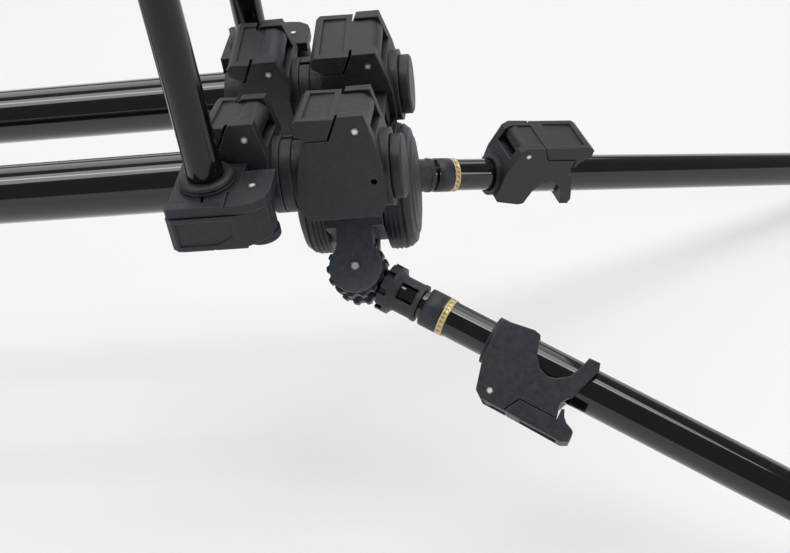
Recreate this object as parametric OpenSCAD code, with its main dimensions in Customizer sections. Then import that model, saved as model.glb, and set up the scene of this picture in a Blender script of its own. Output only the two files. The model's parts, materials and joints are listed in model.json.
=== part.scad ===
// Twin-bar rod pod: two parallel bars, a leg hub at each end, four pull-collar legs and two goal posts.
// Units are millimetres. x runs along the bars, y across them, z is up, and the feet stand on z = 0.

/* [Main bars] */
// Outside diameter of each main bar
bar_d = 25; // [20:0.5:30]
// Wall thickness of each main bar
bar_wall = 1.8; // [1:0.1:3]
// Length of each main bar
bar_len = 640; // [500:10:900]
// Distance between the two bar axes
bar_pitch = 68; // [64:1:80]

/* [Leg hub] */
// Radius of the flange rings round each bar
ring_r = 16; // [15.5:0.5:18]
// Angle by which the clamp blocks lean towards the middle of the pod
lean = 8; // [0:1:14]
// Half width of the clamp block across the bar
clamp_half_w = 16.5; // [15:0.5:18]
// Radius of the drum that carries the two leg pivots
drum_r = 28; // [25:0.5:32]
// Depth of the drum axis below the bar axes
drum_drop = 32.5; // [31:0.5:36]
// Distance of each leg pivot from the middle plane
pivot_y = 14.7; // [13.5:0.1:16]

/* [Legs] */
// Spread of the legs from the vertical, seen along the bars
leg_spread = 51.25; // [40:0.25:60]
// Pitch of the legs below the bar direction
leg_pitch = 30.8; // [15:0.1:60]
// Distance from the leg pivot to the knuckle pin
stem_len = 29.6; // [28:0.1:36]
// Length of a leg from its knuckle pin to the foot, pushed in
leg_len = 330; // [280:5:450]
// Outside diameter of the upper leg tube
upper_d = 16; // [14:0.5:18]
// Outside diameter of the lower leg tube
lower_d = 19; // [18.5:0.5:22]
// Turn of the far legs' clamps round their legs
far_turn = 135; // [90:5:180]
// How far the leg pulls out
leg_extend = 120; // [60:5:140]

/* [Goal posts] */
// Diameter of the uprights
upright_d = 14.4; // [12:0.2:15]
// Height of the buzz bar above the main bars
post_h = 140; // [100:5:220]
// Distance of each upright outboard of its main bar
post_out = 26; // [25:0.5:30]
// Distance between neighbouring rod rest sockets
socket_pitch = 52; // [40:1:60]

/* [Fits] */
// Gap between pieces that move past each other
gap = 0.4; // [0.3:0.05:0.8]
// Radial clearance of a pin or tube that runs in a hole
fit = 0.06; // [0.02:0.01:0.1]
// Diameter of the lever pins
pin_d = 3; // [2.5:0.25:4]
// Diameter of the knuckle pins
knuckle_pin_d = 4; // [3:0.25:6]
// Diameter of the leg pivot pins
pivot_d = 6; // [5:0.25:8]

/* [Output] */
// Which piece to draw

/* [Hidden] */
$fn = 48;
// Overshoot of a cut past a face, and reach of a cut that passes right through a piece
e_cut = 1;
through = 30;
near_y = -bar_pitch / 2;
bar_r = bar_d / 2;

// Places along the bars, counted from the middle of a hub
hub_l = -23.4;
hub_r = 20.9;
ring_w = 4.6;
shoulder_w = 4;
end_ring_w = 5.4;
hub_x = bar_len / 2 - hub_r - 0.2;
barrel_r = ring_r - 0.9;
cap_r = bar_r + 0.9;

// The clamp block and its lever, in the leaning clamp frame
pivot_x = 9.6;
pivot_w = 23.3;
seat_w = 20;
head_r = 5.4;
lever_rise = 5.6;
lug_in = 11.4;
lug_top = pivot_w + 6.5;
block_l = -17.2;
block_r = 18.9;
block_low = -14.6;
flank_bend = 50;

// The bracket next to the hub, its upright and its upright lever
t_shift = -44;
t_block_l = -10;
t_block_r = 16.6;
t_ring_l = hub_l - 0.4 - ring_w;
upright_x = -49;
upright_y = near_y - post_out;
post_low = -8.6;
post_top = 15.4;
post_half = 13.4;
post_front = upright_y - 12.5;
post_pin_x = upright_x + 18.5;
post_pin_y = upright_y - 4.6;
post_lever_low = -4.4;
post_lever_top = 10.6;
post_head_r = 6.6;

// The knuckle and the leg
slot_half = 13;
drum_half = 25;
cheek_w = 7.5;
block_half = slot_half - 0.6;
block_t = 12.4;
heel_r = 9.5;
plate_half = 8;
cover_r = 11.4;
teeth_r = 13;
teeth_n = 14;
notch_r = 2;
knuckle_half = 12;
tongue_half = 4.8;
tongue_len = 17.5;
upper_r = upper_d / 2;
lower_r = lower_d / 2;
sleeve_r = upper_r + fit;
collar_front = 13.5;
collar_back = 31;
collar_travel = 2;
collar_r = 8.5;
core_r = 6.6;
tongue_w = 5;
ferrule_r = 8.4;
ferrule_front = collar_back + collar_travel + 0.3;
ferrule_back = 41.7;
band_back = 45.6;
clamp_front = 66;
clamp_back = 111;
clamp_half = 12.2;
clamp_low = 17.5;
lever_px = clamp_front + 9.5;
lever_pm = 20.4;
lever_low = 24.8;
lever_head = 4.2;
lever_half = 7.6;
tube_start = 82;
upper_short = 60;
upper_end = leg_len - upper_short;
foot_len = 26;
foot_r = 13;

// The leg's foot sets the height of the bars above the ground
knuckle_y = -pivot_y - stem_len * sin(leg_spread);
knuckle_z = -drum_drop - stem_len * cos(leg_spread);
leg_dz = -sin(leg_pitch) * cos(leg_spread);
lift = -(knuckle_z + leg_len * leg_dz) + foot_r;

echo(hub_x = hub_x);
echo(lift = lift);
echo(knuckle_y = knuckle_y, knuckle_z = knuckle_z);

nylon = [0.09, 0.09, 0.095];
tube_black = [0.03, 0.03, 0.035];
steel = [0.75, 0.76, 0.78];
gold = [0.72, 0.55, 0.25];
black_rubber = [0.05, 0.05, 0.05];

// Placing

// A piece of the front end is mirrored for the rear end
module at_end(end) {
    translate([0, 0, lift])
        if (end > 0)
            translate([hub_x, 0, 0]) children();
        else
            mirror([1, 0, 0]) translate([hub_x, 0, 0]) children();
}

// A piece of the near side is mirrored for the far side
module at_side(side) {
    if (side < 0)
        children();
    else
        mirror([0, 1, 0]) children();
}

module at_corner(end, side) {
    at_end(end) at_side(side) children();
}

// The clamp frame: x along the bar, -y out of the flank, z towards the lever
module on_clamp(shift) {
    translate([shift, near_y, 0]) rotate([-lean, 0, 0]) children();
}

// The knuckle frame: origin at the leg pivot, -y down the stem, z out of the front plate
module on_pivot(end, side) {
    at_corner(end, side)
        translate([0, -pivot_y, -drum_drop]) rotate([90 - leg_spread, 0, 0]) children();
}

// The leg frame: origin at the knuckle pin, x down the leg, z along the pin
module on_leg(end, side) {
    on_pivot(end, side) translate([0, -stem_len, 0]) rotate([0, 0, -leg_pitch]) children();
}

// The far leg's clamp is turned round the leg, as photographed
module on_leg_clamp(end, side) {
    on_leg(end, side) rotate([side > 0 ? -far_turn : 0, 0, 0]) children();
}

module x_rod(r, x0, x1) {
    translate([x0, 0, 0]) rotate([0, 90, 0]) cylinder(r = r, h = x1 - x0);
}

module x_cone(r0, r1, x0, x1) {
    translate([x0, 0, 0]) rotate([0, 90, 0]) cylinder(r1 = r0, r2 = r1, h = x1 - x0);
}

// A profile drawn in x and z, as thick as from y0 to y1
module side_plate(y0, y1) {
    translate([0, y1, 0]) rotate([90, 0, 0]) linear_extrude(y1 - y0) children();
}

// Clamp block with two lugs for the lever pin

module block_outline(left, right) {
    polygon([
        [left + 3.8, block_low],
        [left - 1, block_low + 5.6],
        [left - 1, seat_w],
        [-1.2, seat_w],
        [3.4, lug_top],
        [13.7, lug_top],
        [17.6, 14.2],
        [right - 0.3, 8],
        [right, 0],
        [right - 0.5, -8],
        [right - 3.2, block_low + 0.4]
    ]);
}

module clamp_block(left, right) {
    bend_w = -5;
    difference() {
        intersection() {
            side_plate(-clamp_half_w, clamp_half_w) block_outline(left, right);
            // The block's left side is curved
            translate([left + flank_bend, clamp_half_w + e_cut, bend_w])
                rotate([90, 0, 0]) cylinder(r = flank_bend, h = 2 * clamp_half_w + 2 * e_cut, $fn = 96);
        }
        translate([-2.5, -lug_in, pivot_w - head_r - gap])
            cube([through, 2 * lug_in, through]);
        translate([pivot_x, clamp_half_w + e_cut, pivot_w])
            rotate([90, 0, 0]) cylinder(d = pin_d, h = 2 * clamp_half_w + 2 * e_cut);
    }
}

// Clamp lever: a narrow head between the lugs and a wide handle
module clamp_lever(left) {
    tip = left + 2;
    low = seat_w + gap;
    top = pivot_w + lever_rise;
    difference() {
        union() {
            translate([pivot_x, lug_in - gap, pivot_w])
                rotate([90, 0, 0]) cylinder(r = head_r, h = 2 * (lug_in - gap));
            side_plate(-lug_in + gap, lug_in - gap)
                polygon([
                    [tip + 8, low],
                    [pivot_x, low],
                    [pivot_x, pivot_w + head_r],
                    [tip + 8, pivot_w + head_r]
                ]);
            side_plate(-clamp_half_w + 0.2, clamp_half_w - 0.2)
                polygon([
                    [tip, low + 3.6],
                    [tip + 4.6, low],
                    [-2, low],
                    [1.9, top],
                    [tip + 2, top + 0.4],
                    [tip, top - 1.4]
                ]);
        }
        translate([pivot_x, clamp_half_w, pivot_w])
            rotate([90, 0, 0]) cylinder(d = pin_d + 2 * fit, h = 2 * clamp_half_w);
        // Shallow panel in the top of the lever
        translate([tip + 4, -clamp_half_w + 3.2, top - 0.6])
            cube([10.4, 2 * clamp_half_w - 6.4, 3]);
    }
}

module clamp_pin_y() {
    translate([pivot_x, clamp_half_w + 0.3, pivot_w])
        rotate([90, 0, 0]) cylinder(d = pin_d, h = 2 * clamp_half_w + 0.6);
}

// Root pieces

module main_bars() {
    color(tube_black)
        translate([0, 0, lift])
            for (side = [-1, 1])
                translate([0, side * near_y, 0])
                    difference() {
                        x_rod(bar_r, -bar_len / 2, bar_len / 2);
                        x_rod(bar_r - bar_wall, -bar_len / 2 - e_cut, bar_len / 2 + e_cut);
                    }
}

// Flanged plugs pressed into the bar ends
module bar_caps() {
    plug = 14;
    flange = 4;
    color(nylon)
        for (end = [-1, 1])
            for (side = [-1, 1])
                at_corner(end, side)
                    translate([0, near_y, 0]) {
                        x_rod(bar_r - bar_wall, hub_r + 0.2 - plug, hub_r + 0.2 + 1);
                        x_rod(cap_r, hub_r + 0.2, hub_r + 0.2 + flange);
                        x_cone(cap_r, cap_r - 1, hub_r + 0.2 + flange, hub_r + 0.9 + flange);
                    }
}

// Barrel round one bar: inner ring, shoulder, sleeve and outer ring in one turned piece
module hub_barrel() {
    translate([0, near_y, 0])
        rotate([0, 90, 0])
            rotate_extrude()
                polygon([
                    [0, hub_l],
                    [ring_r, hub_l],
                    [ring_r, hub_l + ring_w],
                    [ring_r - 0.7, hub_l + ring_w],
                    [barrel_r, hub_l + ring_w + shoulder_w],
                    [barrel_r, hub_r - end_ring_w],
                    [ring_r, hub_r - end_ring_w],
                    [ring_r, hub_r],
                    [0, hub_r]
                ]);
    on_clamp(0) clamp_block(block_l, block_r);
}

// Drum cheek with a stepped rim and a domed outer face
module drum_cheek() {
    rim = slot_half + cheek_w;
    rotate([0, 90, 0])
        rotate_extrude()
            polygon([
                [0, slot_half],
                [drum_r, slot_half],
                [drum_r, rim],
                [drum_r - 1, rim],
                [drum_r - 1, rim + 1.2],
                [drum_r - 0.3, rim + 1.2],
                [drum_r - 2.5, drum_half - 0.6],
                [drum_r - 9, drum_half + 1],
                [5, drum_half + 1.6],
                [0, drum_half + 1.6]
            ]);
}

module hub() {
    bridge_half = slot_half + cheek_w - 4.9;
    web = cheek_w - 3.6;
    difference() {
        union() {
            for (side = [-1, 1])
                at_side(side) hub_barrel();
            translate([-bridge_half, near_y, -13])
                cube([2 * bridge_half, bar_pitch, 19]);
            for (sx = [0, 1])
                mirror([sx, 0, 0]) {
                    translate([0, 0, -drum_drop]) drum_cheek();
                    // Web from the cheek up to the barrels
                    translate([slot_half + 0.8, -drum_r + 3, -drum_drop])
                        cube([web, 2 * drum_r - 6, drum_drop - 8]);
                }
        }
        for (side = [-1, 1])
            at_side(side) {
                translate([0, near_y, 0])
                    x_rod(bar_r, hub_l - e_cut, hub_r + e_cut);
                translate([0, -pivot_y, -drum_drop])
                    x_rod(pivot_d / 2, -drum_half + 4, drum_half - 4);
                // Split that lets the lever close the barrel on the bar
                on_clamp(0) translate([hub_l - e_cut, -1, 0]) cube([26, 2, 40]);
                // Small blind hole in the flank
                on_clamp(0)
                    translate([block_r - 4.4, -clamp_half_w + 3, 1.3])
                        rotate([90, 0, 0]) cylinder(r = 1.3, h = 3 + e_cut);
            }
        // Recess in the end wall between the barrels
        translate([bridge_half - 2.5, -9, -6]) cube([12, 18, 9]);
    }
}

module hub_front() {
    color(nylon) at_end(1) hub();
}

module hub_rear() {
    // The hub is the same on both sides, so half a turn puts it at the rear
    color(nylon) rotate([0, 0, 180]) at_end(1) hub();
}

module hub_pins() {
    color(steel)
        for (end = [-1, 1])
            for (side = [-1, 1])
                at_corner(end, side) on_clamp(0) clamp_pin_y();
}

module leg_pivot_pins() {
    color(steel)
        for (end = [-1, 1])
            for (side = [-1, 1])
                at_corner(end, side)
                    translate([0, -pivot_y, -drum_drop])
                        x_rod(pivot_d / 2, -drum_half + 4, drum_half - 4);
}

// Bracket that clamps a bar and an upright

// Plan of the visor over the upright lever, with the ear that holds the lever's pin
module ear_plan() {
    front = post_pin_y - 12.6;
    polygon([
        [upright_x - post_half + 2.4, post_front + 6],
        [upright_x - post_half - 1.6, front + 1.8],
        [upright_x - post_half - 0.4, front],
        [post_pin_x - 4, front],
        [post_pin_x + 1.5, post_pin_y - 11.6],
        [post_pin_x + 6, post_pin_y - 8],
        [post_pin_x + 7.6, post_pin_y - 3],
        [post_pin_x + 7.6, post_pin_y + 11],
        [upright_x - post_half + 2.4, post_pin_y + 11]
    ]);
}

// Plan of the room between the ears for the upright lever
module lever_room() {
    polygon([
        [post_pin_x - 20, post_front - through],
        [post_pin_x + through, post_front - through],
        [post_pin_x + through, post_pin_y + post_head_r + 0.2],
        [post_pin_x, post_pin_y + post_head_r + 0.2],
        [post_pin_x - post_head_r + 0.4, post_pin_y],
        [post_pin_x - post_head_r + 0.4, post_front + 0.5],
        [post_pin_x - 20, post_front + 0.5]
    ]);
}

module t_clamp() {
    head_slot = post_lever_top - post_lever_low + 2 * gap;
    difference() {
        union() {
            translate([0, near_y, 0]) {
                x_rod(ring_r, t_ring_l, t_ring_l + ring_w);
                x_rod(barrel_r, t_shift + t_block_l - 4, t_ring_l + ring_w);
            }
            on_clamp(t_shift) clamp_block(t_block_l, t_block_r);
            translate([upright_x - post_half, post_front, post_low])
                cube([2 * post_half, 12.5 + post_out - 10, post_top - post_low]);
            translate([0, 0, post_lever_top + gap])
                linear_extrude(post_top - post_lever_top - gap - 0.1) ear_plan();
            translate([post_pin_x, post_pin_y, post_low + 0.6])
                cylinder(r = post_head_r + 0.6, h = post_lever_low - post_low);
            translate([upright_x + 4, post_front + 1.5, post_low + 0.6])
                cube([post_pin_x - upright_x - 4, 14, post_top - post_low - 1.2]);
            // Stepped collar and bead round the upright
            translate([upright_x, upright_y, post_top])
                rotate_extrude()
                    polygon([
                        [0, -1],
                        [11.2, -1],
                        [11.2, 1.4],
                        [10.4, 1.6],
                        [11, 2.4],
                        [10.4, 3.6],
                        [9.2, 4],
                        [0, 4]
                    ]);
        }
        translate([0, near_y, 0])
            x_rod(bar_r, t_shift - through, t_ring_l + ring_w + e_cut);
        translate([upright_x, upright_y, post_low - e_cut])
            cylinder(r = upright_d / 2 + fit, h = 2 * through);
        on_clamp(t_shift) translate([t_block_l - 8, -1, 0]) cube([25, 2, 40]);
        // Split from the upright to the front face
        translate([upright_x - 0.5, post_front - e_cut, post_low - e_cut])
            cube([1, 12, post_top - post_low + 2 * e_cut]);
        // Parting groove between the visor and the ear
        translate([post_pin_x - 9.4, post_front - 8, post_top - 0.9]) cube([0.7, 13, 2]);
        // Slot for the head of the upright lever
        translate([post_pin_x, post_pin_y, post_lever_low - gap])
            cylinder(r = post_head_r + 0.6, h = head_slot);
        translate([0, 0, post_lever_low - gap]) linear_extrude(head_slot) lever_room();
        translate([post_pin_x, post_pin_y, post_low - e_cut])
            cylinder(d = pin_d, h = post_top - post_low + 2 * e_cut);
    }
}

module t_clamps() {
    color(nylon)
        for (end = [-1, 1])
            for (side = [-1, 1])
                at_corner(end, side) t_clamp();
}

module t_clamp_pins() {
    color(steel)
        for (end = [-1, 1])
            for (side = [-1, 1])
                at_corner(end, side) {
                    on_clamp(t_shift) clamp_pin_y();
                    translate([post_pin_x, post_pin_y, post_low])
                        cylinder(d = pin_d, h = post_top - post_low + 0.3);
                }
}

// Levers of the hubs and brackets

module hub_lever(end, side) {
    color(nylon) at_corner(end, side) on_clamp(0) clamp_lever(block_l);
}

module bar_lever(end, side) {
    color(nylon) at_corner(end, side) on_clamp(t_shift) clamp_lever(t_block_l);
}

module post_lever(end, side) {
    tip_x = upright_x - 15.2;
    face = post_front - gap;
    thick = 5;
    nose = post_head_r - 0.1;
    tall = post_lever_top - post_lever_low;
    color(nylon)
        at_corner(end, side)
            difference() {
                union() {
                    translate([post_pin_x, post_pin_y, post_lever_low])
                        cylinder(r = post_head_r, h = tall);
                    translate([0, 0, post_lever_low])
                        linear_extrude(tall)
                            polygon([
                                [post_pin_x + nose, post_pin_y],
                                [post_pin_x + nose - 1, post_pin_y - 5],
                                [post_pin_x + 2, face - thick + 3.6],
                                [post_pin_x - 4, face - thick + 0.6],
                                [post_pin_x - 9, face - thick],
                                [tip_x + 2.5, face - thick],
                                [tip_x, face - thick + 2],
                                [tip_x, face],
                                [post_pin_x - 5.8, face],
                                [post_pin_x - 5.8, post_pin_y]
                            ]);
                }
                translate([post_pin_x, post_pin_y, post_lever_low - e_cut])
                    cylinder(d = pin_d + 2 * fit, h = tall + 2 * e_cut);
                // Shallow panel on the front of the lever
                side_plate(face - thick - 2, face - thick + 0.5)
                    polygon([
                        [tip_x + 3.6, post_lever_low + 2],
                        [post_pin_x - 15, post_lever_low + 2],
                        [post_pin_x - 8.6, post_lever_low + 5.4],
                        [post_pin_x - 6.6, post_lever_top - 1.8],
                        [tip_x + 3.6, post_lever_top - 1.8]
                    ]);
            }
}

module hub_lever_fn() { hub_lever(1, -1); }
module hub_lever_ff() { hub_lever(1, 1); }
module hub_lever_rn() { hub_lever(-1, -1); }
module hub_lever_rf() { hub_lever(-1, 1); }
module bar_lever_fn() { bar_lever(1, -1); }
module bar_lever_ff() { bar_lever(1, 1); }
module bar_lever_rn() { bar_lever(-1, -1); }
module bar_lever_rf() { bar_lever(-1, 1); }
module post_lever_fn() { post_lever(1, -1); }
module post_lever_ff() { post_lever(1, 1); }
module post_lever_rn() { post_lever(-1, -1); }
module post_lever_rf() { post_lever(-1, 1); }

// Goal posts

module uprights(end) {
    color(tube_black)
        for (side = [-1, 1])
            at_corner(end, side)
                translate([upright_x, upright_y, post_low])
                    cylinder(d = upright_d, h = post_h - post_low);
}

module buzz_bar(end) {
    reach = post_out + bar_pitch / 2;
    bar_over = 12;
    tube_r = 8;
    boss_r = 10;
    boss_h = 16;
    seat_h = 20;
    socket_r = 8;
    socket_h = 12;
    socket_bore = 8.4;
    color(tube_black)
        at_end(end)
            difference() {
                translate([upright_x, 0, post_h]) {
                    translate([0, -reach - bar_over, 0]) rotate([-90, 0, 0])
                        cylinder(r = tube_r, h = 2 * reach + 2 * bar_over);
                    for (side = [-1, 1])
                        translate([0, side * reach, -boss_h]) cylinder(r = boss_r, h = boss_h);
                    for (k = [-1, 0, 1])
                        translate([0, k * socket_pitch, 0]) cylinder(r = socket_r, h = socket_h);
                }
                for (k = [-1, 0, 1])
                    translate([upright_x, k * socket_pitch, post_h])
                        cylinder(d = socket_bore, h = socket_h + e_cut);
                for (side = [-1, 1])
                    translate([upright_x, side * reach, post_h - seat_h])
                        cylinder(d = upright_d, h = seat_h);
            }
}

module uprights_front() { uprights(1); }
module uprights_rear() { uprights(-1); }
module buzz_bar_front() { buzz_bar(1); }
module buzz_bar_rear() { buzz_bar(-1); }

// Legs

// Toothed disc of the knuckle, centred on its pin
module toothed_disc(z0, h) {
    difference() {
        translate([0, 0, z0]) cylinder(r = teeth_r, h = h);
        for (k = [0 : teeth_n - 1])
            rotate([0, 0, (k + 0.5) * 360 / teeth_n])
                translate([teeth_r + 0.7, 0, z0 - e_cut]) cylinder(r = notch_r, h = h + 2 * e_cut);
    }
}

module knuckle(end, side) {
    color(nylon)
        on_pivot(end, side)
            difference() {
                union() {
                    x_rod(heel_r, -block_half, block_half);
                    translate([-block_half, -block_t, -heel_r])
                        cube([2 * block_half, block_t, 2 * heel_r]);
                    translate([-block_half, -block_t, -knuckle_half])
                        cube([2 * block_half, block_t - 6, 2 * knuckle_half]);
                    translate([-plate_half, -stem_len, -knuckle_half])
                        cube([2 * plate_half, stem_len - block_t + 1, 2 * knuckle_half]);
                    translate([0, -stem_len, -knuckle_half])
                        cylinder(r = cover_r, h = 2 * knuckle_half);
                    translate([0, -stem_len, 0]) {
                        toothed_disc(tongue_half + gap, 4.2);
                        toothed_disc(-tongue_half - gap - 4.2, 4.2);
                    }
                }
                // Slot for the tongue of the leg
                translate([-through, -stem_len - through, -tongue_half - gap])
                    cube([2 * through, through + stem_len - block_t - 1.5, 2 * tongue_half + 2 * gap]);
                x_rod(pivot_d / 2 + fit, -through, through);
                translate([0, -stem_len, -through]) cylinder(d = knuckle_pin_d, h = 2 * through);
            }
}

module knuckle_pin(end, side) {
    color(steel)
        on_pivot(end, side)
            translate([0, -stem_len, -knuckle_half - 0.4])
                cylinder(d = knuckle_pin_d, h = 2 * knuckle_half + 0.8);
}

// Tongue, core with its key, ferrule, raised band and upper tube
module leg_stem(end, side) {
    key_x = 23.4;
    key_len = 4.6;
    color(tube_black)
        on_leg(end, side)
            difference() {
                union() {
                    translate([0, 0, -tongue_half]) cylinder(r = 9, h = 2 * tongue_half);
                    translate([0, -tongue_w, -tongue_half])
                        cube([tongue_len, 2 * tongue_w, 2 * tongue_half]);
                    x_rod(core_r, 16.5, ferrule_front + 1);
                    translate([key_x, -2.6, 0]) cube([key_len, 5.2, core_r + 1.3]);
                    x_rod(ferrule_r, ferrule_front, ferrule_back);
                    x_rod(ferrule_r - 0.2, ferrule_back, band_back);
                    x_rod(upper_r, band_back - e_cut, upper_end);
                }
                translate([0, 0, -through]) cylinder(d = knuckle_pin_d + 2 * fit, h = 2 * through);
                x_rod(upper_r - 1.5, band_back, upper_end + e_cut);
            }
}

// Pull collar: castellated flange, body, key window, and a skirt that slides over the ferrule
module collar(end, side) {
    notch_n = 8;
    flare_r = 10.8;
    flare_back = collar_front + 5.2;
    waist_r = collar_r - 0.3;
    window_x = 20.8;
    window_len = 7.8;
    window_w = 3.8;
    color(nylon)
        on_leg(end, side)
            difference() {
                union() {
                    x_rod(flare_r, collar_front, flare_back);
                    x_cone(flare_r - 0.5, waist_r, flare_back - 0.5, flare_back + 2);
                    x_rod(waist_r, flare_back, collar_back - 1.6);
                    x_rod(collar_r, collar_back - 1.8, collar_back);
                }
                x_rod(core_r + fit, 0, collar_back + e_cut);
                // Room for the knuckle's discs and the tongue
                translate([0, 0, -through]) cylinder(r = teeth_r + gap, h = 2 * through);
                translate([0, -tongue_w - gap, -tongue_half - gap])
                    cube([
                        tongue_len + gap + collar_travel,
                        2 * tongue_w + 2 * gap,
                        2 * tongue_half + 2 * gap
                    ]);
                for (k = [0 : notch_n - 1])
                    rotate([(k + 0.5) * 360 / notch_n, 0, 0])
                        translate([collar_front - e_cut, -1.5, flare_r - 1.7]) cube([4.4, 3, 5]);
                // Window over the stem's key
                translate([window_x, -window_w, 1.3]) cube([window_len, 2 * window_w, 12]);
            }
}

module lower_leg(end, side) {
    color(tube_black)
        on_leg(end, side)
            difference() {
                x_rod(lower_r, tube_start, leg_len);
                x_rod(sleeve_r, tube_start - e_cut, leg_len + e_cut);
            }
}

module foot(end, side) {
    color(black_rubber)
        on_leg(end, side)
            difference() {
                union() {
                    x_rod(foot_r - 1.5, leg_len - foot_len, leg_len - 6);
                    translate([leg_len, 0, 0]) sphere(r = foot_r);
                }
                x_rod(lower_r, leg_len - foot_len - e_cut, leg_len);
            }
}

// Leg clamp: sleeve with a saddle notch, a horn and two lugs, drawn with the lever on -y
module clamp_outline() {
    polygon([
        [clamp_front, 6.8],
        [clamp_front + 1.4, 8.5],
        [clamp_front + 14.3, 10.5],
        [clamp_front + 17.2, 9.8],
        [clamp_front + 18.1, 6.8],
        [clamp_front + 19.8, 1.6],
        [clamp_front + 23.4, -2.7],
        [clamp_front + 27.8, -4.1],
        [clamp_front + 31.1, -3.3],
        [clamp_front + 35.7, 0.1],
        [clamp_front + 38.1, 6.1],
        [clamp_front + 39.2, 10.4],
        [clamp_back - 1, 10.6],
        [clamp_back, 7.8],
        [clamp_back - 4.5, -6.7],
        [clamp_back - 6.6, -8.7],
        [clamp_back - 8, -12.2],
        [clamp_back - 6.8, -clamp_low],
        [clamp_front + 21.5, -clamp_low],
        [clamp_front + 17.8, -lever_low],
        [lever_px - 2.4, -lever_low],
        [lever_px - 5.3, -lever_low + 2.2],
        [clamp_front + 0.5, -9.6]
    ]);
}

module leg_clamp(end, side) {
    color(nylon)
        on_leg_clamp(end, side)
            difference() {
                union() {
                    translate([0, 0, -clamp_half]) linear_extrude(2 * clamp_half) clamp_outline();
                    x_rod(10.6, clamp_front - 1.5, clamp_front + 5);
                }
                x_rod(upper_r + 0.35, clamp_front - 3, tube_start + e_cut);
                x_rod(lower_r, tube_start, clamp_back + e_cut);
                // Slot for the lever head
                translate([clamp_front - e_cut, -lever_low - through, -lever_half - gap])
                    cube([
                        2 * through,
                        lever_low + through - lever_pm + lever_head + gap,
                        2 * lever_half + 2 * gap
                    ]);
                translate([lever_px, -lever_pm, -through]) cylinder(d = pin_d, h = 2 * through);
            }
}

module clamp_pin(end, side) {
    color(steel)
        on_leg_clamp(end, side)
            translate([lever_px, -lever_pm, -clamp_half - 0.3])
                cylinder(d = pin_d, h = 2 * clamp_half + 0.6);
}

module leg_lever(end, side) {
    low = -clamp_low - gap;
    edge_x = clamp_front + 22;
    color(nylon)
        on_leg_clamp(end, side)
            difference() {
                union() {
                    translate([lever_px, -lever_pm, -lever_half])
                        cylinder(r = lever_head, h = 2 * lever_half);
                    translate([0, 0, -lever_half])
                        linear_extrude(2 * lever_half)
                            polygon([
                                [lever_px, -lever_pm + 2],
                                [edge_x + 6, low],
                                [edge_x + 6, -lever_low + 0.6],
                                [lever_px, -lever_low + 0.6]
                            ]);
                    translate([0, 0, -clamp_half + 0.3])
                        linear_extrude(2 * clamp_half - 0.6)
                            polygon([
                                [edge_x, low],
                                [clamp_back - 6.2, low],
                                [clamp_back - 6.4, low + 4.6],
                                [clamp_back - 5.2, low + 5],
                                [clamp_back - 4, low + 2.3],
                                [clamp_back - 2, low + 0.4],
                                [clamp_back + 0.7, low - 0.7],
                                [clamp_back + 1.9, low - 1.6],
                                [clamp_back + 2, -lever_low + 1],
                                [clamp_back - 0.8, -lever_low - 0.5],
                                [edge_x - 3.6, -lever_low]
                            ]);
                }
                translate([lever_px, -lever_pm, -through]) cylinder(d = pin_d + 2 * fit, h = 2 * through);
                // Shallow panel on the outside of the lever
                translate([edge_x + 3, -lever_low - 2, -clamp_half + 3])
                    cube([clamp_back - edge_x - 6, 2.5, 2 * clamp_half - 6]);
            }
}

module knuckle_fn() { knuckle(1, -1); }
module knuckle_ff() { knuckle(1, 1); }
module knuckle_rn() { knuckle(-1, -1); }
module knuckle_rf() { knuckle(-1, 1); }
module knuckle_pin_fn() { knuckle_pin(1, -1); }
module knuckle_pin_ff() { knuckle_pin(1, 1); }
module knuckle_pin_rn() { knuckle_pin(-1, -1); }
module knuckle_pin_rf() { knuckle_pin(-1, 1); }
module leg_stem_fn() { leg_stem(1, -1); }
module leg_stem_ff() { leg_stem(1, 1); }
module leg_stem_rn() { leg_stem(-1, -1); }
module leg_stem_rf() { leg_stem(-1, 1); }
module collar_fn() { collar(1, -1); }
module collar_ff() { collar(1, 1); }
module collar_rn() { collar(-1, -1); }
module collar_rf() { collar(-1, 1); }
module lower_leg_fn() { lower_leg(1, -1); }
module lower_leg_ff() { lower_leg(1, 1); }
module lower_leg_rn() { lower_leg(-1, -1); }
module lower_leg_rf() { lower_leg(-1, 1); }
module foot_fn() { foot(1, -1); }
module foot_ff() { foot(1, 1); }
module foot_rn() { foot(-1, -1); }
module foot_rf() { foot(-1, 1); }
module leg_clamp_fn() { leg_clamp(1, -1); }
module leg_clamp_ff() { leg_clamp(1, 1); }
module leg_clamp_rn() { leg_clamp(-1, -1); }
module leg_clamp_rf() { leg_clamp(-1, 1); }
module clamp_pin_fn() { clamp_pin(1, -1); }
module clamp_pin_ff() { clamp_pin(1, 1); }
module clamp_pin_rn() { clamp_pin(-1, -1); }
module clamp_pin_rf() { clamp_pin(-1, 1); }
module leg_lever_fn() { leg_lever(1, -1); }
module leg_lever_ff() { leg_lever(1, 1); }
module leg_lever_rn() { leg_lever(-1, -1); }
module leg_lever_rf() { leg_lever(-1, 1); }

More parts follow.
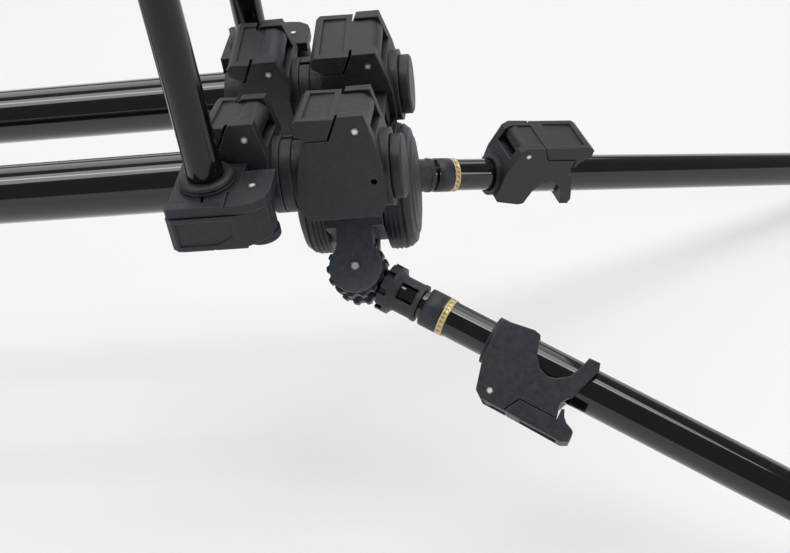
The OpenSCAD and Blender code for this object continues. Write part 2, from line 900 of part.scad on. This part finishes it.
main_bars();
bar_caps();
hub_front();
hub_rear();
hub_pins();
leg_pivot_pins();
t_clamps();
t_clamp_pins();
hub_lever_fn();
hub_lever_ff();
hub_lever_rn();
hub_lever_rf();
bar_lever_fn();
bar_lever_ff();
bar_lever_rn();
bar_lever_rf();
post_lever_fn();
post_lever_ff();
post_lever_rn();
post_lever_rf();
uprights_front();
uprights_rear();
buzz_bar_front();
buzz_bar_rear();
knuckle_fn();
knuckle_ff();
knuckle_rn();
knuckle_rf();
knuckle_pin_fn();
knuckle_pin_ff();
knuckle_pin_rn();
knuckle_pin_rf();
leg_stem_fn();
leg_stem_ff();
leg_stem_rn();
leg_stem_rf();
collar_fn();
collar_ff();
collar_rn();
collar_rf();
lower_leg_fn();
lower_leg_ff();
lower_leg_rn();
lower_leg_rf();
foot_fn();
foot_ff();
foot_rn();
foot_rf();
leg_clamp_fn();
leg_clamp_ff();
leg_clamp_rn();
leg_clamp_rf();
clamp_pin_fn();
clamp_pin_ff();
clamp_pin_rn();
clamp_pin_rf();
leg_lever_fn();
leg_lever_ff();
leg_lever_rn();
leg_lever_rf();
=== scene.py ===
"""Looks for the twin-bar rod pod: materials, small trim, light and the photograph's camera."""

import json
import math

import bmesh
import bpy
from mathutils import Matrix, Vector


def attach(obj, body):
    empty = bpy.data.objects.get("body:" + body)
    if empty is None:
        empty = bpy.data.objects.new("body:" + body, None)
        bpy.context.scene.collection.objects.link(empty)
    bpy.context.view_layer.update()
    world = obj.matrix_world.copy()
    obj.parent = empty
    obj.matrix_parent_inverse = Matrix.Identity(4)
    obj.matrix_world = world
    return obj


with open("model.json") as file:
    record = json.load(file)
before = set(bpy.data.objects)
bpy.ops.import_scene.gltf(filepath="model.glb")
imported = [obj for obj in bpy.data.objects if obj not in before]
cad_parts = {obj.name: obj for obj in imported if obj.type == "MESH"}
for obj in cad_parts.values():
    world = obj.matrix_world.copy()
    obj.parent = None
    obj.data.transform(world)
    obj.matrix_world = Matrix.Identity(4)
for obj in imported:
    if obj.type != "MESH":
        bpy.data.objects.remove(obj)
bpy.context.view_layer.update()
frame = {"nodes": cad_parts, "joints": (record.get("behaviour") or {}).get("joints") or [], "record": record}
NODES = frame["nodes"]
JOINTS = {joint["name"]: joint for joint in frame["joints"]}
CORNERS = ("fn", "ff", "rn", "rf")
MM = 0.001

# Camera of the photograph, fitted to the edges of its tubes, with angles in degrees
CAMERA_MM = (373.23, -428.48, 422.53)
CAMERA_YAW = -8.62
CAMERA_DOWN = 37.88
CAMERA_ROLL = -8.88
FOCAL_PX = 1144.46
PHOTO_W_PX = 790
SENSOR_MM = 36.0
CLIP_START = 0.01

# Room light, and lamps as (name, place, (width, depth), power), in metres and watts
ROOM_COLOUR = (0.98, 0.99, 1.0)
ROOM_LIGHT = 0.2
LAMP_TARGET = (0.3, 0.0, 0.15)
LAMPS = (
    ("top_box", (0.25, 0.15, 1.7), (2.2, 0.8), 19.3),
    ("back_box", (0.3, 1.5, 1.5), (2.4, 1.2), 13.5),
    ("top_strip", (0.3, -0.05, 1.45), (1.9, 0.08), 3.0),
    ("left_box", (-0.9, -0.9, 0.8), (0.4, 0.6), 3.0),
    ("right_box", (1.5, -0.6, 0.8), (0.4, 0.6), 3.0),
)

# The floor turns up into a low wall all round, as (radius, height) in metres
FLOOR_PROFILE = ((8.0, 0.0), (9.6, 0.15), (10.9, 0.6), (11.7, 1.4), (12.0, 2.6))
FLOOR_SEGMENTS = 96
# Its plain pale colour, that colour's share near the object, and where it becomes plain, in metres
FLOOR_PLAIN = 0.9
FLOOR_PLAIN_SHARE = 0.6
FLOOR_PLAIN_FROM = 0.7
FLOOR_PLAIN_AT = 1.8

# Trim on a leg's stem: places along the leg from its knuckle pin, and radii, in millimetres
TRIM_DEPTH = 0.6
TRIM_SEGMENTS = 64
FERRULE_FROM = 33.4
FERRULE_TO = 41.6
FERRULE_R = 8.47
FERRULE_CHAMFER = 0.3
BAND_FROM = 41.9
BAND_TO = 44.8
BAND_R = 8.5
BAND_CHAMFER = 0.15
BAND_EDGE = 0.55
BAND_STEP = 0.1
# Which stretch of the band's profile is its engraved middle
BAND_MIDDLE = 3

# Ribs of a hub drum: places along its axis from the middle, and radii, in millimetres
RIB_SEGMENTS = 120
RIB_PLACES = (15.2, 17.2, 19.2)
RIB_HALF = 0.55
RIB_FOOT_R = 27.6
RIB_TOP_R = 28.4
RIB_SHOULDER = 0.35
RIB_CROWN_DROP = 0.08
RIB_CROWN_SHARE = 0.55
# Rings on the drum's face as (radius, place)
FACE_RIBS = ((21.4, 25.2), (14.6, 25.95))
FACE_RIB_HALF = 0.5
FACE_RIB_FOOT = 1.2
FACE_RIB_SHOULDER = 0.25
FACE_RIB_TOP = 0.45
FACE_RIB_FLAT_SHARE = 0.4

# Samples of the nodes that look round themselves
BEVEL_SAMPLES = 6
# The crease samples are for the painted shade in the nylon's creases
CREASE_SHADE_SAMPLES = 8
# Paler edges of the nylon, partly wear from rubbing and partly painted highlight: their strength, and how
# much paler they are
WEAR_HIGHLIGHT_SHARE = 0.8
WEAR_HIGHLIGHT_GAIN = 2.4
WEAR_HIGHLIGHT_LIFT = 0.02
# How far the roughness moves with mottling or smudges, and how much paler a smudge is
MOTTLED_ROUGH = 0.07
SMUDGED_ROUGH = 0.08
SMUDGE_GAIN = 1.7
# Foil of the gold bands
GOLD_METALLIC = 0.4
GOLD_ROUGH = 0.42


# Materials

SOCKETS = {
    "colour": "Base Color",
    "metallic": "Metallic",
    "rough": "Roughness",
    "specular": "Specular IOR Level",
    "coat": "Coat Weight",
    "coat_rough": "Coat Roughness",
    "coat_ior": "Coat IOR",
    "normal": "Normal",
}


def rgba(value):
    """A grey or a colour, with full alpha."""
    return (*value, 1.0) if isinstance(value, tuple) else (value, value, value, 1.0)


class Look:
    """A material being made, with the node work that the looks share. Lengths are in metres."""

    def __init__(self, name):
        self.material = bpy.data.materials.new(name)
        self.material.use_nodes = True
        self.nodes = self.material.node_tree.nodes
        self.links = self.material.node_tree.links
        self.shader = self.nodes["Principled BSDF"]

    def add(self, kind, **settings):
        node = self.nodes.new("ShaderNode" + kind)
        for key, value in settings.items():
            setattr(node, key, value)
        return node

    def fix(self, **values):
        """Numbers that are the same all over, on the shader's own sockets."""
        for key, value in values.items():
            self.shader.inputs[SOCKETS[key]].default_value = value

    def drive(self, socket, source):
        self.links.new(source, self.shader.inputs[SOCKETS[socket]])

    def noise(self, scale, detail=4.0, rough=0.6):
        """Noise over the object's own coordinates."""
        coord = self.add("TexCoord")
        noise = self.add("TexNoise")
        noise.inputs["Scale"].default_value = scale
        noise.inputs["Detail"].default_value = detail
        noise.inputs["Roughness"].default_value = rough
        self.links.new(coord.outputs["Object"], noise.inputs["Vector"])
        return noise.outputs["Fac"]

    def ramp(self, source, low, high):
        """Blend between two stops, each a place with a grey or a colour."""
        node = self.add("ValToRGB")
        for element, (place, value) in zip(node.color_ramp.elements, (low, high)):
            element.position = place
            element.color = rgba(value)
        self.links.new(source, node.inputs["Fac"])
        return node.outputs["Color"]

    def bevel(self, radius):
        """Normal that is rounded off along sharp edges."""
        bevel = self.add("Bevel", samples=BEVEL_SAMPLES)
        bevel.inputs["Radius"].default_value = radius
        return bevel.outputs["Normal"]

    def edges(self, radius, low, high):
        """Mask that is bright along sharp edges."""
        dot = self.add("VectorMath", operation="DOT_PRODUCT")
        self.links.new(self.bevel(radius), dot.inputs[0])
        self.links.new(self.add("NewGeometry").outputs["Normal"], dot.inputs[1])
        return self.ramp(dot.outputs["Value"], (low, 1.0), (high, 0.0))

    def combine(self, operation, first, second):
        """Math node on two sockets, or on a socket and a number."""
        node = self.add("Math", operation=operation)
        self.links.new(first, node.inputs[0])
        if isinstance(second, float):
            node.inputs[1].default_value = second
        else:
            self.links.new(second, node.inputs[1])
        return node.outputs["Value"]

    def paint(self, mask, under, over):
        """The colour under, with the plain colour over it where the mask is bright."""
        mix = self.add("Mix", data_type="RGBA")
        self.links.new(mask, mix.inputs["Factor"])
        self.links.new(under, mix.inputs["A"])
        mix.inputs["B"].default_value = rgba(over)
        return mix.outputs["Result"]

    def paint_crease_shade(self, colour, reach, low, high):
        """The colour with painted shade: darker where the surface is closed in by its neighbours."""
        open_air = self.add("AmbientOcclusion", samples=CREASE_SHADE_SAMPLES)
        open_air.inputs["Distance"].default_value = reach
        mix = self.add("Mix", data_type="RGBA", blend_type="MULTIPLY")
        mix.inputs["Factor"].default_value = 1.0
        self.links.new(colour, mix.inputs["A"])
        self.links.new(self.ramp(open_air.outputs["AO"], low, high), mix.inputs["B"])
        return mix.outputs["Result"]

    def bump(self, height, strength, distance, bevel=0.0):
        node = self.add("Bump")
        node.inputs["Strength"].default_value = strength
        node.inputs["Distance"].default_value = distance
        self.links.new(height, node.inputs["Height"])
        if bevel > 0:
            self.links.new(self.bevel(bevel), node.inputs["Normal"])
        self.drive("normal", node.outputs["Normal"])


def nylon(name, dark, light, rough, grain_scale):
    """Moulded nylon: fine grain, mottling, paler edges that are partly wear and partly painted highlight,
    and painted shade in the creases.
    """
    look = Look(name)
    mottling = look.noise(scale=420.0, detail=8.0, rough=0.68)
    grain = look.noise(scale=grain_scale, detail=2.0, rough=0.7)
    tint = look.ramp(mottling, (0.28, dark), (0.72, light))
    edges = look.edges(radius=0.0006, low=0.85, high=0.995)
    # Paler edges: partly wear from rubbing, partly a painted highlight where edges catch the light
    rubbed_highlit = tuple(min(1.0, c * WEAR_HIGHLIGHT_GAIN + WEAR_HIGHLIGHT_LIFT) for c in light)
    worn_and_highlit = look.paint(look.combine("MULTIPLY", edges, WEAR_HIGHLIGHT_SHARE), tint, rubbed_highlit)
    # Painted shade: darker in the creases, where the surface is closed in
    crease_shaded = look.paint_crease_shade(worn_and_highlit, reach=0.003, low=(0.45, 0.08), high=(0.96, 1.0))
    look.drive("colour", crease_shaded)
    gloss = look.ramp(mottling, (0.4, rough - MOTTLED_ROUGH), (0.6, rough + MOTTLED_ROUGH))
    look.drive("rough", gloss)
    look.fix(specular=0.38)
    look.bump(grain, strength=0.4, distance=0.00014, bevel=0.0009)
    return look.material


def anodised(name, colour, rough, coat):
    """Drawn aluminium tube, black anodised: fine marks, light smudges, hard clear gloss."""
    look = Look(name)
    smudge = look.noise(scale=35.0, detail=6.0)
    smudged = tuple(c * SMUDGE_GAIN for c in colour)
    look.drive("colour", look.ramp(smudge, (0.25, colour), (0.8, smudged)))
    look.drive("rough", look.ramp(smudge, (0.3, rough), (0.8, rough + SMUDGED_ROUGH)))
    look.fix(metallic=0.0, specular=0.2, coat=coat, coat_rough=0.03, coat_ior=1.5)
    look.bump(look.noise(scale=900.0, detail=2.0), strength=0.05, distance=0.00005)
    return look.material


def ground_steel(name):
    """Ground pin end: fine turning marks, and painted shade along the rim, a dark ring as of a chamfer gap
    in shadow.
    """
    look = Look(name)
    marks = look.noise(scale=1400.0, detail=3.0, rough=0.8)
    tint = look.ramp(marks, (0.3, (0.78, 0.79, 0.8)), (0.8, (0.92, 0.92, 0.93)))
    # Painted shade: a dark ring along the rim of each pin end
    rim = look.edges(radius=0.0013, low=0.95, high=0.985)
    look.drive("colour", look.paint(rim, tint, (0.02, 0.021, 0.024)))
    look.fix(metallic=0.3, rough=0.36)
    look.bump(marks, strength=0.2, distance=0.00008, bevel=0.0004)
    return look.material


def plain_gold(name):
    """Raised edges of the gold band: pale foil with a faint brushing."""
    look = Look(name)
    brushing = look.noise(scale=1200.0, detail=3.0)
    tint = look.ramp(brushing, (0.3, (0.6, 0.47, 0.23)), (0.7, (0.76, 0.61, 0.33)))
    look.drive("colour", tint)
    look.fix(metallic=GOLD_METALLIC, rough=GOLD_ROUGH)
    look.bump(brushing, strength=0.1, distance=0.00005)
    return look.material


def engraved_gold(name):
    """Middle of the gold band: slanted strokes, darker in their grooves."""
    look = Look(name)
    coord = look.add("TexCoord")
    wave = look.add("TexWave", wave_type="BANDS", bands_direction="DIAGONAL")
    wave.inputs["Scale"].default_value = 190.0
    wave.inputs["Distortion"].default_value = 3.0
    look.links.new(coord.outputs["Object"], wave.inputs["Vector"])
    strokes = wave.outputs["Fac"]
    look.drive("colour", look.ramp(strokes, (0.15, (0.33, 0.23, 0.09)), (0.5, (0.7, 0.55, 0.28))))
    look.fix(metallic=GOLD_METALLIC, rough=GOLD_ROUGH)
    look.bump(strokes, strength=0.3, distance=0.0001)
    return look.material


def rubber(name):
    """Foot rubber: matt, with a pale bloom."""
    look = Look(name)
    bloom = look.noise(scale=60.0, detail=6.0)
    tint = look.ramp(bloom, (0.3, (0.014, 0.014, 0.015)), (0.8, (0.045, 0.045, 0.047)))
    look.drive("colour", tint)
    look.fix(rough=0.8)
    look.bump(bloom, strength=0.3, distance=0.0002)
    return look.material


NYLON = nylon(
    "moulded_nylon",
    dark=(0.0125, 0.0148, 0.0195),
    light=(0.0305, 0.0345, 0.043),
    rough=0.5,
    grain_scale=2600.0,
)
# The knuckles get a paler, lit copy of the nylon: painted light where the hub shades them
NYLON_LIT = nylon(
    "knuckle_nylon",
    dark=(0.05, 0.0575, 0.071),
    light=(0.096, 0.108, 0.13),
    rough=0.56,
    grain_scale=2600.0,
)
NYLON_DARK = nylon(
    "collar_nylon",
    dark=(0.0165, 0.0192, 0.0245),
    light=(0.0395, 0.0445, 0.054),
    rough=0.46,
    grain_scale=3000.0,
)
BAR_BLACK = anodised("bar_gloss_black", (0.0022, 0.0022, 0.0025), rough=0.1, coat=1.0)
POST_BLACK = anodised("post_satin_black", (0.0022, 0.0022, 0.0025), rough=0.14, coat=0.45)
LEG_BLACK = anodised("leg_gloss_black", (0.0022, 0.0022, 0.0024), rough=0.1, coat=1.0)
GOLD = engraved_gold("gold_band")
GOLD_EDGE = plain_gold("gold_band_edge")
SLOT_LOOKS = {
    "bar_black": BAR_BLACK,
    "leg_black": LEG_BLACK,
    "nylon": NYLON,
    "nylon_dark": NYLON_DARK,
    "steel": ground_steel("pin_steel"),
    "rubber": rubber("foot_rubber"),
}
NODE_LOOKS = {"knuckle_" + corner: NYLON_LIT for corner in CORNERS}
NODE_LOOKS.update({"uprights_front": POST_BLACK, "uprights_rear": POST_BLACK})


def dress_nodes():
    """Every CAD node takes its own look, or else that of its record slot."""
    slots = {part["node"]: part["material_slot"] for part in frame["record"]["subparts"]}
    for name, obj in NODES.items():
        obj.data.materials.clear()
        obj.data.materials.append(NODE_LOOKS.get(name, SLOT_LOOKS[slots[name]]))


# Small trim

def ring_angles(segments):
    return [2 * math.pi * k / segments for k in range(segments)]


def bridge(bm, first, second):
    """Faces between two rings of vertices."""
    for k in range(len(first)):
        n = (k + 1) % len(first)
        bm.faces.new((first[k], second[k], second[n], first[n]))


def smooth_object(name, bm, material):
    mesh = bpy.data.meshes.new(name)
    bm.to_mesh(mesh)
    bm.free()
    for face in mesh.polygons:
        face.use_smooth = True
    mesh.materials.append(material)
    obj = bpy.data.objects.new(name, mesh)
    bpy.context.scene.collection.objects.link(obj)
    return obj


def lathe(name, profiles, segments, place, material):
    """Closed rings turned about local x, each from its own (x, r) points in millimetres."""
    bm = bmesh.new()
    for profile in profiles:
        rings = []
        for x, r in profile:
            points = [
                (x * MM, r * MM * math.cos(a), r * MM * math.sin(a))
                for a in ring_angles(segments)
            ]
            rings.append([bm.verts.new(point) for point in points])
        for first, second in zip(rings, rings[1:] + rings[:1]):
            bridge(bm, first, second)
    bmesh.ops.recalc_face_normals(bm, faces=bm.faces)
    obj = smooth_object(name, bm, material)
    obj.data.transform(place)
    return obj


def leg_frame(corner):
    """From a leg's own frame (x down the leg, z along the pin, upwards) to the row frame."""
    pitch = JOINTS["leg_pitch_" + corner]
    x = Vector(JOINTS["collar_pull_" + corner]["axis"]).normalized()
    z = Vector(pitch["axis"]).normalized()
    if z.z < 0:
        z = -z
    y = z.cross(x)
    place = Matrix((x, y, z)).transposed().to_4x4()
    place.translation = Vector(pitch["pos_m"])
    return place


def add_bands():
    """Foil bands with raised edges, on the seats that the stems have."""
    low = BAND_R - BAND_STEP
    foot = BAND_R - TRIM_DEPTH
    profile = [
        (BAND_FROM, BAND_R - BAND_CHAMFER),
        (BAND_FROM + BAND_CHAMFER, BAND_R),
        (BAND_FROM + BAND_EDGE, BAND_R),
        (BAND_FROM + BAND_EDGE + BAND_STEP, low),
        (BAND_TO - BAND_EDGE - BAND_STEP, low),
        (BAND_TO - BAND_EDGE, BAND_R),
        (BAND_TO - BAND_CHAMFER, BAND_R),
        (BAND_TO, BAND_R - BAND_CHAMFER),
        (BAND_TO, foot),
        (BAND_FROM, foot),
    ]
    for corner in CORNERS:
        band = lathe("gold_band_" + corner, [profile], TRIM_SEGMENTS, leg_frame(corner), GOLD)
        band.data.materials.append(GOLD_EDGE)
        for face in band.data.polygons:
            face.material_index = 0 if face.index // TRIM_SEGMENTS == BAND_MIDDLE else 1
        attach(band, "leg_" + corner)


def add_ferrules():
    """Matt skins on the stems' ferrules, between collar and band."""
    foot = FERRULE_R - TRIM_DEPTH
    profile = [
        (FERRULE_FROM, FERRULE_R - FERRULE_CHAMFER),
        (FERRULE_FROM + FERRULE_CHAMFER, FERRULE_R),
        (FERRULE_TO - FERRULE_CHAMFER, FERRULE_R),
        (FERRULE_TO, FERRULE_R - FERRULE_CHAMFER),
        (FERRULE_TO, foot),
        (FERRULE_FROM, foot),
    ]
    for corner in CORNERS:
        name = "ferrule_skin_" + corner
        skin = lathe(name, [profile], TRIM_SEGMENTS, leg_frame(corner), NYLON_DARK)
        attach(skin, "leg_" + corner)


def drum_middle(end):
    """Middle of a hub's drum, between its two leg pivots."""
    near = Vector(JOINTS["leg_spread_" + end + "n"]["pos_m"])
    far = Vector(JOINTS["leg_spread_" + end + "f"]["pos_m"])
    return (near + far) / 2


def rim_rib(x):
    """Rounded bead round the drum's rim."""
    crown = RIB_HALF * RIB_CROWN_SHARE
    return [
        (x - RIB_HALF, RIB_FOOT_R),
        (x - RIB_HALF, RIB_TOP_R - RIB_SHOULDER),
        (x - crown, RIB_TOP_R - RIB_CROWN_DROP),
        (x, RIB_TOP_R),
        (x + crown, RIB_TOP_R - RIB_CROWN_DROP),
        (x + RIB_HALF, RIB_TOP_R - RIB_SHOULDER),
        (x + RIB_HALF, RIB_FOOT_R),
    ]


def face_rib(r, x):
    """Low ring on the drum's domed face."""
    flat = FACE_RIB_HALF * FACE_RIB_FLAT_SHARE
    return [
        (x - FACE_RIB_FOOT, r - FACE_RIB_HALF),
        (x + FACE_RIB_SHOULDER, r - FACE_RIB_HALF),
        (x + FACE_RIB_TOP, r - flat),
        (x + FACE_RIB_TOP, r + flat),
        (x + FACE_RIB_SHOULDER, r + FACE_RIB_HALF),
        (x - FACE_RIB_FOOT, r + FACE_RIB_HALF),
    ]


def add_drum_ribs():
    """Ribs on the outer and inner half of each hub's drum."""
    rings = [rim_rib(x) for x in RIB_PLACES] + [face_rib(r, x) for r, x in FACE_RIBS]
    for end in ("f", "r"):
        for facing, turn in (("out", 0.0), ("in", math.pi)):
            if end == "r":
                turn = math.pi - turn
            place = Matrix.Translation(drum_middle(end)) @ Matrix.Rotation(turn, 4, "Z")
            ribs = lathe("drum_ribs_" + end + "_" + facing, rings, RIB_SEGMENTS, place, NYLON)
            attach(ribs, "frame")


# Stage

def pale_floor():
    """Plain pale floor: partly shaded near the object, and its plain colour further away."""
    look = Look("pale_floor")
    look.drive("colour", look.ramp(look.noise(scale=1.5), (0.3, 0.9), (0.7, 0.93)))
    look.fix(rough=0.85)
    distance = look.add("VectorMath", operation="LENGTH")
    look.links.new(look.add("TexCoord").outputs["Object"], distance.inputs[0])
    far = look.add("MapRange", interpolation_type="SMOOTHSTEP")
    far.inputs["From Min"].default_value = FLOOR_PLAIN_FROM
    far.inputs["From Max"].default_value = FLOOR_PLAIN_AT
    far.inputs["To Min"].default_value = FLOOR_PLAIN_SHARE
    look.links.new(distance.outputs["Value"], far.inputs["Value"])
    rays = look.add("LightPath").outputs
    seen = look.combine("MAXIMUM", rays["Is Camera Ray"], rays["Is Glossy Ray"])
    seen = look.combine("MAXIMUM", seen, rays["Is Transmission Ray"])
    plain = look.add("Emission")
    plain.inputs["Color"].default_value = rgba(FLOOR_PLAIN)
    mix = look.add("MixShader")
    look.links.new(look.combine("MULTIPLY", far.outputs["Result"], seen), mix.inputs[0])
    look.links.new(look.shader.outputs["BSDF"], mix.inputs[1])
    look.links.new(plain.outputs["Emission"], mix.inputs[2])
    look.links.new(mix.outputs["Shader"], look.nodes["Material Output"].inputs["Surface"])
    return look.material


def add_floor():
    bm = bmesh.new()
    rings = []
    for r, z in FLOOR_PROFILE:
        points = [(r * math.cos(a), r * math.sin(a), z) for a in ring_angles(FLOOR_SEGMENTS)]
        rings.append([bm.verts.new(point) for point in points])
    bm.faces.new(rings[0])
    for inner, outer in zip(rings, rings[1:]):
        bridge(bm, inner, outer)
    smooth_object("studio_floor", bm, pale_floor())


def add_light():
    world = bpy.data.worlds.new("studio_world")
    bpy.context.scene.world = world
    world.use_nodes = True
    room = world.node_tree.nodes["Background"]
    room.inputs["Color"].default_value = rgba(ROOM_COLOUR)
    room.inputs["Strength"].default_value = ROOM_LIGHT
    for name, place, size, power in LAMPS:
        data = bpy.data.lights.new(name, "AREA")
        data.shape = "RECTANGLE"
        data.size, data.size_y = size
        data.energy = power
        lamp = bpy.data.objects.new(name, data)
        bpy.context.scene.collection.objects.link(lamp)
        lamp.location = place
        lamp.rotation_mode = "QUATERNION"
        aim = Vector(LAMP_TARGET) - Vector(place)
        lamp.rotation_quaternion = aim.to_track_quat("-Z", "Y")


def add_camera():
    yaw, down, roll = (math.radians(v) for v in (CAMERA_YAW, CAMERA_DOWN, CAMERA_ROLL))
    level = math.cos(down)
    ahead = Vector((math.sin(yaw) * level, math.cos(yaw) * level, -math.sin(down)))
    right = ahead.cross(Vector((0, 0, 1))).normalized()
    up = right.cross(ahead)
    right_rolled = math.cos(roll) * right + math.sin(roll) * up
    up_rolled = -math.sin(roll) * right + math.cos(roll) * up
    data = bpy.data.cameras.new("photo_camera")
    data.sensor_width = SENSOR_MM
    data.lens = FOCAL_PX / PHOTO_W_PX * SENSOR_MM
    data.clip_start = CLIP_START
    camera = bpy.data.objects.new("photo_camera", data)
    bpy.context.scene.collection.objects.link(camera)
    place = Matrix((right_rolled, up_rolled, -ahead)).transposed().to_4x4()
    place.translation = Vector(CAMERA_MM) * MM
    camera.matrix_world = place
    bpy.context.scene.camera = camera


def main():
    bpy.context.scene.view_settings.view_transform = "Standard"
    dress_nodes()
    add_bands()
    add_ferrules()
    add_drum_ribs()
    add_floor()
    add_light()
    add_camera()


main()
